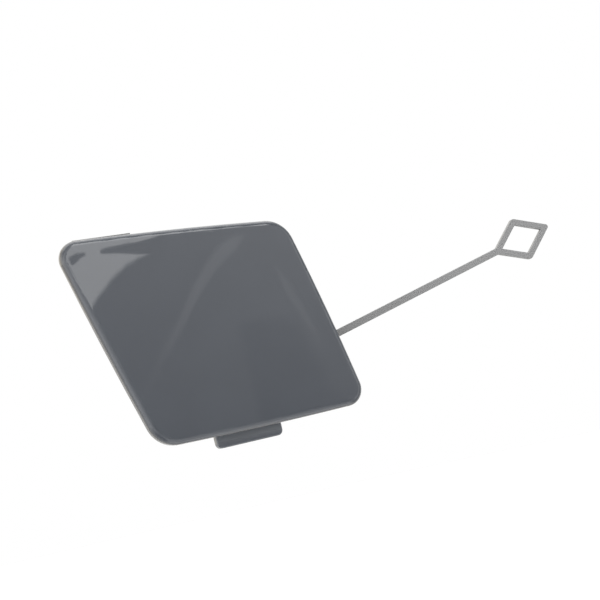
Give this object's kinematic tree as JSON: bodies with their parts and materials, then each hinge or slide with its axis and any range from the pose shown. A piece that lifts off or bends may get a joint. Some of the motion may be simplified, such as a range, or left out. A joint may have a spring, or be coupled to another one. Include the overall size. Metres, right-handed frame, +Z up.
{
  "type": "bumper tow hook cover",
  "caption": "Crowned rhomboid cover for a bumper's tow eye opening, with a rear wall, a tongue, a snap hook and a strap that ends in a diamond loop.",
  "frame": {"origin": "middle of the face's outline, on the plane where the rim's rear edge meets the bumper", "axes": "as fitted: +X to the right for someone who looks at the face, +Y into the bumper, +Z up"},
  "size_m": [0.2036, 0.0151, 0.0816],
  "materials": {
    "grey_plastic": "gloss dark grey primer on the face, satin lighter grey on the strap and loop"
  },
  "bodies": {
    "root": {"tow_hook_cover": "grey_plastic"}
  },
  "joints": []
}
